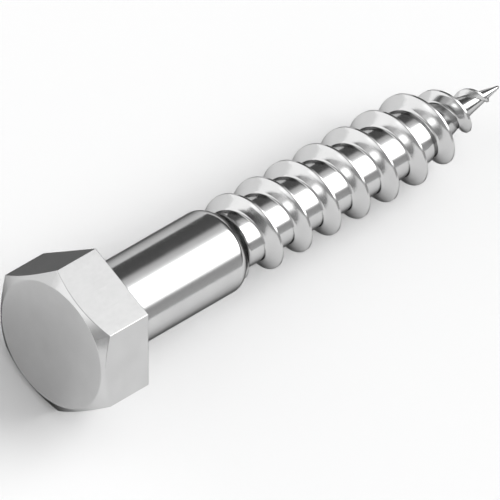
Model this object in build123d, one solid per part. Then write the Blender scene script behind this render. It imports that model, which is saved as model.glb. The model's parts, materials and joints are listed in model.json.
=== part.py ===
from build123d import *
import math
import os

# Coach screw, M8 x 50: hexagon head, plain shank, coarse wood thread and gimlet point, in one piece.
# Millimetres. It is modelled along +X, with the bearing face of the head in the plane x = 0, and is
# then laid on the floor z = 0 as it comes to rest: on one flat of the head and on the thread.

# Head
across_flats = 13.0
head_height = 5.5
face_inset = 0.33          # from each flat to the round face that the chamfer leaves
chamfer_angle = 30.0       # from the face

# Shank
shank_d = 8.0
shank_length = 14.4        # from the bearing face to the cone that leads down to the thread
neck_radius = 0.4          # fillet under the head
runout_length = 1.6        # cone between the shank and the thread's core

# Thread
screw_length = 50.0        # under the head, to the point
thread_d = 8.0             # over the crests
thread_depth = 1.2
thread_pitch = 3.6
crest_width = 0.25
flank_angle = 30.0         # between a flank and the plane across the axis
run_in_start = 0.8         # from the end of the shank to where the ridge comes out of the cone
run_in_length = 1.8        # over which the ridge grows to its full height
start_angle = 137.5        # where the ridge begins, from +Y towards +Z

# Point
point_length = 10.8        # of the core, which narrows in two cones
point_slim_length = 5.6    # of the second, slimmer cone
point_slim_radius = 1.2    # where the two meet
point_end_radius = 0.12
crest_point_length = 10.0  # over which the ridge's crest comes down to the end
point_bare = 0.4           # from the last of the ridge to the end of the point

# How the ridge joins the rest
ridge_bury = 0.2           # depth below the surface at which the ridge begins and ends
ridge_root = 0.8           # share of the core's radius from which the ridge is drawn
sections_per_turn = 12
sections_per_piece = 6

HEX_SIDES = 6
flat_r = across_flats / 2
shank_r = shank_d / 2
crest_r = thread_d / 2
core_r = crest_r - thread_depth
core_start = shank_length + runout_length
point_start = screw_length - point_length
point_slim_start = screw_length - point_slim_length
ridge_start = shank_length + run_in_start
ridge_full = ridge_start + run_in_length
crest_point_start = screw_length - crest_point_length
ridge_end = screw_length - point_bare


def blend(start, end, share):
    """Value between start and end."""
    return start + (end - start) * share


def body_at(x):
    """Radius of the cone, the core or the point at a distance under the head."""
    if x < core_start:
        return blend(shank_r, core_r, (x - shank_length) / runout_length)
    if x < point_start:
        return core_r
    if x < point_slim_start:
        share = (x - point_start) / (point_slim_start - point_start)
        return blend(core_r, point_slim_radius, share)
    share = (x - point_slim_start) / point_slim_length
    return blend(point_slim_radius, point_end_radius, share)


def crest_at(x):
    """Radius over the ridge: it comes up out of the cone and sinks into the point."""
    if x < ridge_full:
        return blend(body_at(ridge_start) - ridge_bury, crest_r, (x - ridge_start) / run_in_length)
    if x > crest_point_start:
        share = (x - crest_point_start) / crest_point_length
        return blend(crest_r, point_end_radius - ridge_bury, share)
    return crest_r


def ridge_angle(x):
    """Angle round the axis of the ridge's middle; it is a right-hand thread."""
    return math.radians(start_angle) + 2 * math.pi * (x - ridge_start) / thread_pitch


def ridge_section(x):
    """Section of the ridge in the half plane through the axis where its middle is at x."""
    crest = crest_at(x)
    root = ridge_root * min(body_at(x), crest)
    half = crest_width / 2
    foot = half + (crest - root) * math.tan(math.radians(flank_angle))
    corners = [(-foot, root), (-half, crest), (half, crest), (foot, root)]
    angle = ridge_angle(x)
    points = [(x + along, r * math.cos(angle), r * math.sin(angle)) for along, r in corners]
    return Wire.make_polygon([Vector(*point) for point in points], close=True)


def ridge_pieces(start, end):
    """The ridge between two distances under the head, in pieces of up to half a turn."""
    steps = max(math.ceil((end - start) / thread_pitch * sections_per_turn), 1)
    sections = [ridge_section(blend(start, end, i / steps)) for i in range(steps + 1)]
    pieces = []
    for first in range(0, steps, sections_per_piece):
        pieces.append(Solid.make_loft(sections[first:first + sections_per_piece + 1]))
    return pieces


def make_head():
    """Hexagon with one flat above and one below, its outer face chamfered to a circle."""
    plane = Plane(origin=(-head_height, 0, 0), x_dir=(0, 1, 0), z_dir=(1, 0, 0))
    prism = extrude(plane * RegularPolygon(flat_r, HEX_SIDES, major_radius=False), head_height)
    face_r = flat_r - face_inset
    rim_r = across_flats
    rim_x = -head_height + (rim_r - face_r) * math.tan(math.radians(chamfer_angle))
    behind_x = max(rim_x, 0) + head_height
    outline = Polyline(
        (-head_height, 0),
        (-head_height, face_r),
        (rim_x, rim_r),
        (behind_x, rim_r),
        (behind_x, 0),
        close=True,
    )
    return prism & revolve(make_face(outline), Axis.X)


def make_body():
    """Everything round under the head except the ridge: fillet, shank, cone, core and point."""
    outline = [
        Line((0, 0), (0, shank_r + neck_radius)),
        RadiusArc((0, shank_r + neck_radius), (neck_radius, shank_r), neck_radius),
        Line((neck_radius, shank_r), (shank_length, shank_r)),
        Line((shank_length, shank_r), (core_start, core_r)),
        Line((core_start, core_r), (point_start, core_r)),
        Line((point_start, core_r), (point_slim_start, point_slim_radius)),
        Line((point_slim_start, point_slim_radius), (screw_length, point_end_radius)),
        Line((screw_length, point_end_radius), (screw_length, 0)),
        Line((screw_length, 0), (0, 0)),
    ]
    return revolve(make_face(Wire(outline)), Axis.X)


def make_screw():
    """The whole screw along +X."""
    ridge = ridge_pieces(ridge_start, ridge_full)
    ridge += ridge_pieces(ridge_full, crest_point_start)
    ridge += ridge_pieces(crest_point_start, ridge_end)
    return make_head() + make_body().fuse(*ridge)


def rest_tilt():
    """Angle by which the point sinks until a crest meets the floor that the head's flat stands on."""
    steps = 3600
    slopes = []
    for step in range(steps + 1):
        x = blend(ridge_start, ridge_end, step / steps)
        height = flat_r + crest_at(x) * math.sin(ridge_angle(x))
        slopes.append(height / (x + crest_width / 2))
    return math.degrees(math.atan(min(slopes)))


def lay_down(screw):
    """The screw at rest on the floor, with the middle of its footprint at the origin."""
    laid = Rot(0, rest_tilt(), 0) * screw
    box = laid.bounding_box()
    return Pos(-box.center().X, -box.center().Y, -box.min.Z) * laid


os.makedirs("parts", exist_ok=True)
coach_screw = lay_down(make_screw())
export_step(coach_screw, "parts/coach_screw.step")
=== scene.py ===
import json
import math

import bmesh
import bpy
import numpy as np
from mathutils import Matrix, Vector


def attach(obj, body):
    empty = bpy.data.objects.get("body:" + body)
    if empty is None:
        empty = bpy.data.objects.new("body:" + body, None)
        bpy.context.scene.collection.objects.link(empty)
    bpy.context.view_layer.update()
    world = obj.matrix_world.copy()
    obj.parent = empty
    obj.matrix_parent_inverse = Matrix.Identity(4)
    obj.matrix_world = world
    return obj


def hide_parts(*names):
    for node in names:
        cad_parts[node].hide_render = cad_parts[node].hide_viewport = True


# A coach screw lying on a pale floor. Lengths are in millimetres and angles in degrees unless it says
# otherwise. The screw's sizes have the names and values of the part's construction, and its place and axis
# come from the record's mounts.

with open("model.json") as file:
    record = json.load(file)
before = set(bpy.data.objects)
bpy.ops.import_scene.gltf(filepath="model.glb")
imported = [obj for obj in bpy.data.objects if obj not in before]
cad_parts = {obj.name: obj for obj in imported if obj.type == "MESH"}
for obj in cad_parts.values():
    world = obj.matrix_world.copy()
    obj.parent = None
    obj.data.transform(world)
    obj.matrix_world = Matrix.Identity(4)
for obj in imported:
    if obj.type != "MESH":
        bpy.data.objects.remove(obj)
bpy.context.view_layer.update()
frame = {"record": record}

MM = 0.001  # metres

# Head
HEX_SIDES = 6
across_flats = 13.0
head_height = 5.5
face_inset = 0.33  # from each flat to the round face that the chamfer leaves
chamfer_angle = 30.0  # from the face

# Shank
shank_d = 8.0
shank_length = 14.4  # from the bearing face to the cone that leads down to the thread
neck_radius = 0.4  # fillet under the head
runout_length = 1.6  # cone between the shank and the thread's core

# Thread
screw_length = 50.0  # under the head, to the point
thread_d = 8.0  # over the crests
thread_depth = 1.2
thread_pitch = 3.6
crest_width = 0.25
flank_angle = 30.0  # between a flank and the plane across the axis
run_in_start = 0.8  # from the end of the shank to where the ridge comes out of the cone
run_in_length = 1.8  # over which the ridge grows to its full height
start_angle = 137.5  # where the ridge begins, from the side axis towards up
ridge_bury = 0.2  # depth below the body's surface at which the ridge begins and ends

# Point
point_length = 10.8  # of the core, which narrows in two cones
point_slim_length = 5.6  # of the second, slimmer cone
point_slim_radius = 1.2  # where the two meet
point_end_radius = 0.12
crest_point_length = 10.0  # over which the ridge's crest comes down to the end

# Roundings that forming and rolling leave on the metal
corner_round = 0.05  # radius at the corners of the hexagon
edge_round = 0.1  # radius at the rims of the head

# Two surfaces that meet blend where their radii differ by less than this
crest_round = 0.07
root_round = 0.16
root_round_least = 0.05  # share of root_round that is left at the end of the point
shoulder_round = 0.3
cones_round = 0.2

flat_r = across_flats / 2
shank_r = shank_d / 2
crest_r = thread_d / 2
core_r = crest_r - thread_depth
point_start = screw_length - point_length
point_slim_start = screw_length - point_slim_length
ridge_start = shank_length + run_in_start
ridge_full = ridge_start + run_in_length
crest_point_start = screw_length - crest_point_length
flank_tan = math.tan(math.radians(flank_angle))
turn_rate = thread_pitch / (2 * math.pi)

side_angle = 360 / HEX_SIDES  # between two corners of the hexagon
half_side = math.radians(side_angle / 2)  # in radians

# The mesh has columns at fixed angles round the axis, plain rings round the head and the shank, and rows
# that follow the helix on the thread
FLAT_SPACES = 15  # between the columns on one flat
CORNER_COLUMNS = (-1.0, -0.5, 0.0, 0.5, 1.0)  # shares of a rounded corner's half angle
FACE_RINGS = (0.4, 0.75, 0.93)  # shares of the radius of the head's round face
SHANK_RINGS = (2.0, 5.0, 8.0, 11.0, 13.3)  # places along the axis
SHOULDER_RINGS = 13  # number of them, close together
FACE_EDGE_STEPS = 3  # spaces between the rings on each rounding
RIM_STEPS = 4
NECK_STEPS = 6
EDGE_ROW_SHARE = 0.3  # of crest_round, from the crest's edge to the rows on both sides of it
EDGE_ROW_MOST = 0.12  # of a flank's width, which that distance stays under
FLANK_ROWS = (0.25, 0.5, 0.7, 0.85, 0.97)  # shares of a flank's width, from the crest
FOOT_ROWS = (0.07, 0.16)  # beyond the flank's foot
CORE_ROWS = (0.25, 0.5, 0.75, 1.0)  # shares of what is left up to half a pitch
LEAST_HEIGHT = 0.08  # of the ridge, when its rows are spaced
SPARE_TURNS = 2  # of rows before the first turn and after the last
MERGE_DISTANCE = 0.0003  # points that are nearer than this become one
SLIVER_LENGTH = 0.0002  # edges that are shorter than this are dissolved
shoulder_rings_start = shank_length - 0.5
rings_end = shank_length + 0.45
thread_normals_start = shank_length - 0.6  # from here on the normals are worked out by a formula
end_normals_start = screw_length - 0.01  # and from here on they point along the axis

# Steel
STEEL_COLOUR = (0.64, 0.64, 0.64, 1)
STEEL_SHADE = (0.6, 0.6, 0.6, 1)  # where the plating is a little duller
EDGE_TINT = (0.12, 0.12, 0.12, 1)  # darkens the metal where it is seen nearly edge-on
BLOTCHES = (0.45, 4)  # a noise's scale, per millimetre, and its detail
GRAIN = (3.0, 5)
LINES = (4.0, 3)
LINE_STRETCH = 0.04  # share of that scale along the axis, which draws the lines out
NOISE_MIDDLE = (0.3, 0.7)  # range that most of a noise's values lie in
BLOTCH_ROUGHNESS = (0.1, 0.14)
GRAIN_ROUGHNESS = (0.0, 0.05)  # on top of the other
RELIEF = 0.0008  # height of the grain and the lines

# Light
WORLD_BASE = 0.1
SOFT_SHARE = 0.7  # width of a soft box's fading edge, as a share of its half angle
# elevation, azimuth (0 is the way the point looks, 90 the side axis), half angle, brightness
SOFTBOXES = [
    (40, -20, 22, 4.0),
    (60, -35, 32, 0.8),
    (60, 65, 22, 0.8),
    (40, 20, 14, 0.4),
    (25, 180, 14, 0.6),
    (25, -145, 32, 0.3),
    (0, 135, 45, 1.25),
    (0, -90, 45, 0.4),
]

# Floor
FLOOR_HALF = 3.0  # metres
FLOOR_COLOUR = (0.93, 0.93, 0.93, 1)
FLOOR_ROUGHNESS = 0.9

# Camera. It has the isometric view of a screw with a corner of its head downwards. This screw lies on a
# flat, so the view is turned with it, by half a side of the head.
VIEW_ROLL = -side_angle / 2
VIEW_BACK = (-1, -1, 1)  # from the screw to the camera: along, to the side and up
VIEW_UP = (1, 1, 2)  # up in the picture
VIEW_WIDTH = 43.764  # across the picture, at the screw
AIM_ALONG = 18.35  # from the bearing face along the axis to the middle of the picture
AIM_RIGHT = 0.395  # and from there, as the picture shows it
AIM_DOWN = 1.521
LENS = 1500
SENSOR = 36
CLIP_NEAR = 0.05  # metres
CLIP_FAR = 20  # metres


def blend(start, end, share):
    """Value between start and end."""
    return start + (end - start) * share


def smooth_max(a, b, width):
    """The larger of two values, with a rounding where they differ by less than width."""
    h = np.clip(0.5 + 0.5 * (a - b) / width, 0.0, 1.0)
    return blend(b, a, h) + width * h * (1.0 - h)


def smooth_min(a, b, width):
    """The smaller of two values, with a rounding where they differ by less than width."""
    return -smooth_max(-a, -b, width)


# --- the surface of the screw, along +X from the bearing face -----------------------------------


def body_at(x):
    """Radius of shank, cone, core and point, with their corners rounded."""
    cone = blend(shank_r, core_r, (x - shank_length) / runout_length)
    first = (x - point_start) / (point_slim_start - point_start)
    second = (x - point_slim_start) / point_slim_length
    point = blend(core_r, point_slim_radius, first)
    slim = blend(point_slim_radius, point_end_radius, second)
    body = smooth_min(cone, np.full_like(x, shank_r), shoulder_round)
    body = smooth_max(body, np.full_like(x, core_r), root_round)
    body = smooth_min(body, smooth_max(point, slim, cones_round), shoulder_round)
    left = np.clip(screw_length - x, 0.0, point_end_radius)
    cap = np.sqrt(np.maximum(point_end_radius**2 - (point_end_radius - left) ** 2, 0.0))
    return np.minimum(body, np.where(left < point_end_radius, cap, body))


ridge_foot = blend(shank_r, core_r, run_in_start / runout_length) - ridge_bury


def crest_at(x):
    """Radius over the ridge whose middle is at x; it lies below the surface where there is no ridge."""
    rise = (x - ridge_start) / run_in_length
    fall = (x - crest_point_start) / crest_point_length
    crest = np.where(x < ridge_full, blend(ridge_foot, crest_r, rise), crest_r)
    return np.where(x > crest_point_start, blend(crest_r, point_end_radius - ridge_bury, fall), crest)


def surface_at(x, middle):
    """Radius at x beside the ridge whose middle is at the given place."""
    crest = crest_at(middle)
    flank = crest - (np.abs(x - middle) - crest_width / 2) / flank_tan
    ridge = smooth_min(crest, flank, crest_round)
    width = root_round * np.clip((screw_length - x) / point_length, root_round_least, 1.0)
    return np.maximum(smooth_max(body_at(x), ridge, width), 0.0)


def first_middle(angle):
    """Place of the ridge's middle at an angle round the axis, on its first turn."""
    return ridge_start + (angle - math.radians(start_angle)) * turn_rate


def normals_at(x, angle):
    """Normals of the thread's surface, in the screw's own axes."""
    step = 0.002
    least_radius = 0.02
    near = first_middle(angle)
    middle = near + np.round((x - near) / thread_pitch) * thread_pitch
    radius = np.maximum(surface_at(x, middle), least_radius)
    along = (surface_at(x + step, middle) - surface_at(x - step, middle)) / (2 * step)
    by_middle = (surface_at(x, middle + step) - surface_at(x, middle - step)) / (2 * step)
    around = by_middle * turn_rate / radius
    cos, sin = np.cos(angle), np.sin(angle)
    normal = np.stack([-along, cos + around * sin, sin - around * cos], axis=-1)
    return normal / np.linalg.norm(normal, axis=-1, keepdims=True)


def column_angles():
    """Angles of the columns, in radians, and the half angle over which a corner is rounded, in degrees."""
    centre = (flat_r - corner_round) / math.cos(half_side)
    away = corner_round * math.sin(half_side)
    rounding = math.degrees(math.atan2(away, centre + corner_round * math.cos(half_side)))
    flat_angle = side_angle - 2 * rounding
    angles = []
    for i in range(HEX_SIDES):
        corner = i * side_angle
        angles += [corner + rounding * share for share in CORNER_COLUMNS]
        angles += [corner + rounding + flat_angle * j / FLAT_SPACES for j in range(1, FLAT_SPACES)]
    return np.radians(np.array(angles)), rounding


def hexagon_at(angle, rounding):
    """Radius of the hexagon with rounded corners."""
    from_corner = (np.degrees(angle) + side_angle / 2) % side_angle - side_angle / 2
    away = np.radians(from_corner)
    flat = flat_r / np.cos(half_side - np.abs(away))
    centre = (flat_r - corner_round) / math.cos(half_side)
    inside = np.maximum(corner_round**2 - (centre * np.sin(away)) ** 2, 0.0)
    arc = centre * np.cos(away) + np.sqrt(inside)
    return np.where(np.abs(from_corner) < rounding, arc, flat)


def fillet(before, corner, after, radius, steps):
    """Points of a round corner between two straight runs, in the half plane through the axis."""
    one = np.array(before) - corner
    two = np.array(after) - corner
    one = one / np.linalg.norm(one)
    two = two / np.linalg.norm(two)
    half = math.acos(float(np.clip(one @ two, -1, 1))) / 2
    reach = radius / math.tan(half)
    bisector = (one + two) / np.linalg.norm(one + two)
    centre = corner + bisector * radius / math.sin(half)
    start = corner + one * reach - centre
    end = corner + two * reach - centre
    points = []
    for i in range(steps + 1):
        way = blend(start, end, i / steps)
        points.append(centre + way / np.linalg.norm(way) * radius)
    return points


def head_profile(corner_r):
    """Outline in one half plane, (x, radius), from the middle of the face to the end of the rings."""
    face_r = flat_r - face_inset
    slope = math.tan(math.radians(chamfer_angle))
    face = np.array([-head_height, face_r])
    rim = np.array([-head_height + (corner_r - face_r) * slope, corner_r])
    back = np.array([0.0, corner_r])
    neck = np.array([0.0, shank_r])
    points = [np.array([-head_height, face_r * share]) for share in FACE_RINGS]
    points += fillet((-head_height, 0.0), face, rim, edge_round, FACE_EDGE_STEPS)
    points += fillet(face, rim, back, edge_round, RIM_STEPS)
    points += [np.array([-head_height / 2, corner_r])]
    points += fillet(rim, back, neck, edge_round, RIM_STEPS)
    points += [np.array([0.0, blend(shank_r + neck_radius, corner_r, 0.5)])]
    points += fillet((0.0, corner_r), neck, (shank_length, shank_r), neck_radius, NECK_STEPS)
    points += [np.array([x, shank_r]) for x in SHANK_RINGS]
    shoulder = np.linspace(shoulder_rings_start, rings_end, SHOULDER_RINGS)
    points += [np.array([x, r]) for x, r in zip(shoulder, body_at(shoulder))]
    return points


def row_offsets(height):
    """Places of the mesh's rows beside the ridge's middle, for one height of the ridge."""
    half = crest_width / 2
    foot = half + np.maximum(height, LEAST_HEIGHT) * flank_tan
    span = foot - half
    edge = np.minimum(crest_round * EDGE_ROW_SHARE, span * EDGE_ROW_MOST)
    rows = [np.full_like(foot, half / 2), half - edge, np.full_like(foot, half), half + edge]
    rows += [half + span * share for share in FLANK_ROWS]
    rows += [foot + beyond for beyond in FOOT_ROWS]
    last = rows[-1]
    rows += [blend(last, thread_pitch / 2, share) for share in CORE_ROWS]
    after = np.stack(rows, axis=-1)
    middle = np.zeros(after.shape[:-1] + (1,))
    return np.concatenate([-after[..., :-1][..., ::-1], middle, after], axis=-1)


class Surface:
    """Points and faces of one closed skin, in the screw's own axes."""

    def __init__(self):
        self.points = []
        self.faces = []

    def add(self, x, radius, angle):
        """Add a point and return its number."""
        self.points.append((x, radius * math.cos(angle), radius * math.sin(angle)))
        return len(self.points) - 1


def build_head(surface, angles, rounding):
    """Head and shank, in one ring for each point of the outline."""
    corners = hexagon_at(angles, rounding)
    centre = surface.add(-head_height, 0.0, 0.0)
    grid = []
    for angle, corner_r in zip(angles, corners):
        grid.append([surface.add(x, r, angle) for x, r in head_profile(float(corner_r))])
    for column, after in zip(grid, grid[1:] + grid[:1]):
        surface.faces.append((centre, after[0], column[0]))
        for i in range(len(column) - 1):
            surface.faces.append((column[i], after[i], after[i + 1], column[i + 1]))


def build_thread(surface, angles):
    """Thread and point, in rows along the helix; rows that would pass either end are drawn in to it."""
    first_turn = math.floor((rings_end - ridge_start) / thread_pitch) - SPARE_TURNS
    last_turn = math.ceil((screw_length - ridge_start) / thread_pitch) + SPARE_TURNS
    places = []
    radii = []
    for turn in range(first_turn, last_turn):
        middle = first_middle(angles) + turn * thread_pitch
        height = crest_at(middle) - body_at(middle)
        x = np.clip(middle[:, None] + row_offsets(height), rings_end, screw_length)
        places.append(x)
        radii.append(surface_at(x, np.broadcast_to(middle[:, None], x.shape)))
    per_turn = places[0].shape[1]
    places = np.concatenate(places, axis=1)
    radii = np.concatenate(radii, axis=1)
    grid = []
    for angle, column_x, column_r in zip(angles, places, radii):
        grid.append([surface.add(float(x), float(r), float(angle)) for x, r in zip(column_x, column_r)])
    # after one turn round the axis, a row has moved on by one pitch
    grid.append(grid[0][per_turn:])
    for column, after in zip(grid, grid[1:]):
        for i in range(len(after) - 1):
            surface.faces.append((column[i], after[i], after[i + 1], column[i + 1]))


def fill_mesh(mesh, surface):
    """Put the surface into the mesh, and join what coincides, so that it is one closed skin."""
    mesh.from_pydata(surface.points, [], surface.faces)
    bm = bmesh.new()
    bm.from_mesh(mesh)
    bmesh.ops.remove_doubles(bm, verts=bm.verts, dist=MERGE_DISTANCE)
    bmesh.ops.dissolve_degenerate(bm, dist=SLIVER_LENGTH, edges=bm.edges)
    loose = [v for v in bm.verts if not v.link_faces]
    bmesh.ops.delete(bm, geom=loose, context="VERTS")
    bm.to_mesh(mesh)
    bm.free()


def skin_normals(mesh):
    """Normals in the screw's own axes: worked out on the thread, weighed by the faces' areas elsewhere."""
    count = len(mesh.vertices)
    points = np.zeros(count * 3)
    mesh.vertices.foreach_get("co", points)
    points = points.reshape(count, 3)
    normals = np.zeros((count, 3))
    for face in mesh.polygons:
        weight = np.array(face.normal) * face.area
        for v in face.vertices:
            normals[v] += weight
    normals /= np.linalg.norm(normals, axis=1, keepdims=True)
    on_thread = points[:, 0] > thread_normals_start
    angle = np.arctan2(points[:, 2], points[:, 1])
    normals[on_thread] = normals_at(points[on_thread, 0], angle[on_thread])
    normals[points[:, 0] > end_normals_start] = (1.0, 0.0, 0.0)
    return normals


def make_screw(origin, axes):
    """The whole screw, with its bearing face at origin, along the first of its axes."""
    angles, rounding = column_angles()
    surface = Surface()
    build_head(surface, angles, rounding)
    build_thread(surface, angles)
    mesh = bpy.data.meshes.new("coach_screw_skin")
    fill_mesh(mesh, surface)
    normals = skin_normals(mesh)
    turn = np.array(axes)
    for v in mesh.vertices:
        v.co = Vector(np.array(v.co) @ turn * MM + np.array(origin))
    mesh.update()
    for face in mesh.polygons:
        face.use_smooth = True
    mesh.normals_split_custom_set_from_vertices([tuple(n) for n in normals @ turn])
    screw = bpy.data.objects.new("coach_screw_skin", mesh)
    bpy.context.scene.collection.objects.link(screw)
    return screw


# --- steel ----------------------------------------------------------------------------------------


def add_noise(tree, vector, scale, detail):
    """A noise's value at a place."""
    node = tree.nodes.new("ShaderNodeTexNoise")
    node.inputs["Scale"].default_value = scale
    node.inputs["Detail"].default_value = detail
    tree.links.new(vector, node.inputs["Vector"])
    return node.outputs["Fac"]


def spread(tree, value, low, high):
    """Stretch the middle of a noise's range to the range from low to high."""
    node = tree.nodes.new("ShaderNodeMapRange")
    node.inputs["From Min"].default_value = NOISE_MIDDLE[0]
    node.inputs["From Max"].default_value = NOISE_MIDDLE[1]
    node.inputs["To Min"].default_value = low
    node.inputs["To Max"].default_value = high
    tree.links.new(value, node.inputs["Value"])
    return node.outputs["Result"]


def add_up(tree, *terms):
    """Sum of two terms, each another node's output or a plain number."""
    node = tree.nodes.new("ShaderNodeMath")
    node.operation = "ADD"
    for term, entry in zip(terms, node.inputs):
        if isinstance(term, float):
            entry.default_value = term
        else:
            tree.links.new(term, entry)
    return node.outputs["Value"]


def make_steel(axis):
    """Bright plated steel: slightly uneven gloss, fine grain, and faint drawing lines along the axis."""
    steel = bpy.data.materials.new("bright_steel")
    steel.use_nodes = True
    tree = steel.node_tree
    shader = tree.nodes["Principled BSDF"]
    shader.inputs["Metallic"].default_value = 1.0
    shader.inputs["Specular Tint"].default_value = EDGE_TINT

    coords = tree.nodes.new("ShaderNodeTexCoord")
    place = tree.nodes.new("ShaderNodeMapping")
    # turned so that the first axis runs along the screw
    place.inputs["Rotation"].default_value = (0, -math.atan2(-axis.z, axis.x), 0)
    place.inputs["Scale"].default_value = (1 / MM, 1 / MM, 1 / MM)
    tree.links.new(coords.outputs["Object"], place.inputs["Vector"])
    drawn = tree.nodes.new("ShaderNodeVectorMath")
    drawn.operation = "MULTIPLY"
    drawn.inputs[1].default_value = (LINE_STRETCH, 1.0, 1.0)
    tree.links.new(place.outputs["Vector"], drawn.inputs[0])
    blotches = add_noise(tree, place.outputs["Vector"], *BLOTCHES)
    grain = add_noise(tree, place.outputs["Vector"], *GRAIN)
    lines = add_noise(tree, drawn.outputs["Vector"], *LINES)

    colour = tree.nodes.new("ShaderNodeMix")
    colour.data_type = "RGBA"
    colour.inputs["A"].default_value = STEEL_COLOUR
    colour.inputs["B"].default_value = STEEL_SHADE
    tree.links.new(spread(tree, blotches, 0.0, 1.0), colour.inputs["Factor"])
    tree.links.new(colour.outputs["Result"], shader.inputs["Base Color"])

    rough = add_up(tree, spread(tree, blotches, *BLOTCH_ROUGHNESS), spread(tree, grain, *GRAIN_ROUGHNESS))
    tree.links.new(rough, shader.inputs["Roughness"])

    bump = tree.nodes.new("ShaderNodeBump")
    bump.inputs["Strength"].default_value = 1.0
    bump.inputs["Distance"].default_value = RELIEF * MM
    tree.links.new(add_up(tree, grain, lines), bump.inputs["Height"])
    tree.links.new(bump.outputs["Normal"], shader.inputs["Normal"])
    return steel


# --- floor, light and camera ----------------------------------------------------------------------


def make_floor():
    """A wide plain sheet under the screw."""
    corners = [(-1, -1), (1, -1), (1, 1), (-1, 1)]
    mesh = bpy.data.meshes.new("floor")
    mesh.from_pydata([(x * FLOOR_HALF, y * FLOOR_HALF, 0) for x, y in corners], [], [(0, 1, 2, 3)])
    floor = bpy.data.objects.new("floor", mesh)
    bpy.context.scene.collection.objects.link(floor)
    paper = bpy.data.materials.new("paper")
    paper.use_nodes = True
    shader = paper.node_tree.nodes["Principled BSDF"]
    shader.inputs["Base Color"].default_value = FLOOR_COLOUR
    shader.inputs["Roughness"].default_value = FLOOR_ROUGHNESS
    floor.data.materials.append(paper)
    return floor


def add_softbox(tree, coords, elevation, azimuth, reach, bright):
    """Light from a round patch of the room, which fades out over its edge."""
    soft = reach * SOFT_SHARE
    level = math.cos(math.radians(elevation))
    nearness = tree.nodes.new("ShaderNodeVectorMath")
    nearness.operation = "DOT_PRODUCT"
    tree.links.new(coords, nearness.inputs[0])
    nearness.inputs[1].default_value = (
        level * math.cos(math.radians(azimuth)),
        level * math.sin(math.radians(azimuth)),
        math.sin(math.radians(elevation)),
    )
    fade = tree.nodes.new("ShaderNodeMapRange")
    fade.interpolation_type = "SMOOTHSTEP"
    tree.links.new(nearness.outputs["Value"], fade.inputs["Value"])
    fade.inputs["From Min"].default_value = math.cos(math.radians(reach + soft / 2))
    fade.inputs["From Max"].default_value = math.cos(math.radians(reach - soft / 2))
    fade.inputs["To Max"].default_value = bright
    return fade.outputs["Result"]


def make_world():
    """Soft studio light: a dim room with soft boxes in it."""
    world = bpy.data.worlds.new("studio")
    bpy.context.scene.world = world
    world.use_nodes = True
    tree = world.node_tree
    coords = tree.nodes.new("ShaderNodeTexCoord").outputs["Generated"]
    total = WORLD_BASE
    for softbox in SOFTBOXES:
        total = add_up(tree, add_softbox(tree, coords, *softbox), total)
    tree.links.new(total, tree.nodes["Background"].inputs["Color"])


def make_camera(origin, axes):
    """A far camera with a long lens, so that the view is nearly parallel."""
    roll = math.radians(VIEW_ROLL)

    def turned(direction):
        """A direction of the isometric view, turned with the screw, in the floor's frame."""
        x, y, z = direction
        y, z = y * math.cos(roll) - z * math.sin(roll), y * math.sin(roll) + z * math.cos(roll)
        return (axes[0] * x + axes[1] * y + axes[2] * z).normalized()

    back = turned(VIEW_BACK)
    up = turned(VIEW_UP)
    right = up.cross(back).normalized()
    target = origin + (axes[0] * AIM_ALONG + right * AIM_RIGHT - up * AIM_DOWN) * MM
    data = bpy.data.cameras.new("camera")
    data.lens = LENS
    data.sensor_width = SENSOR
    data.clip_start = CLIP_NEAR
    data.clip_end = CLIP_FAR
    camera = bpy.data.objects.new("camera", data)
    bpy.context.scene.collection.objects.link(camera)
    distance = VIEW_WIDTH * MM * LENS / SENSOR
    turn = Matrix((right, up, back)).transposed().to_4x4()
    camera.matrix_world = Matrix.Translation(target + back * distance) @ turn
    bpy.context.scene.camera = camera


# --- the scene ------------------------------------------------------------------------------------


def screw_place(record):
    """Where the screw's axis meets the bearing face, and its axes: along, to the side and up."""
    mounts = {mount["name"]: mount for mount in record["mounts"]}
    along = Vector(mounts["shank"]["axis"]).normalized()
    on_axis = Vector(mounts["shank"]["pos_m"])
    on_face = Vector(mounts["bearing_face"]["pos_m"])
    origin = on_axis - along * (on_axis - on_face).dot(along)
    side = Vector((0, 1, 0))
    return origin, (along, side, along.cross(side))


origin, axes = screw_place(frame["record"])
screw = make_screw(tuple(origin), [tuple(axis) for axis in axes])
screw.data.materials.append(make_steel(axes[0]))
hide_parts("coach_screw")
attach(screw, "root")

floor = make_floor()
make_camera(origin, axes)
make_world()
bpy.context.scene.view_settings.view_transform = "Standard"
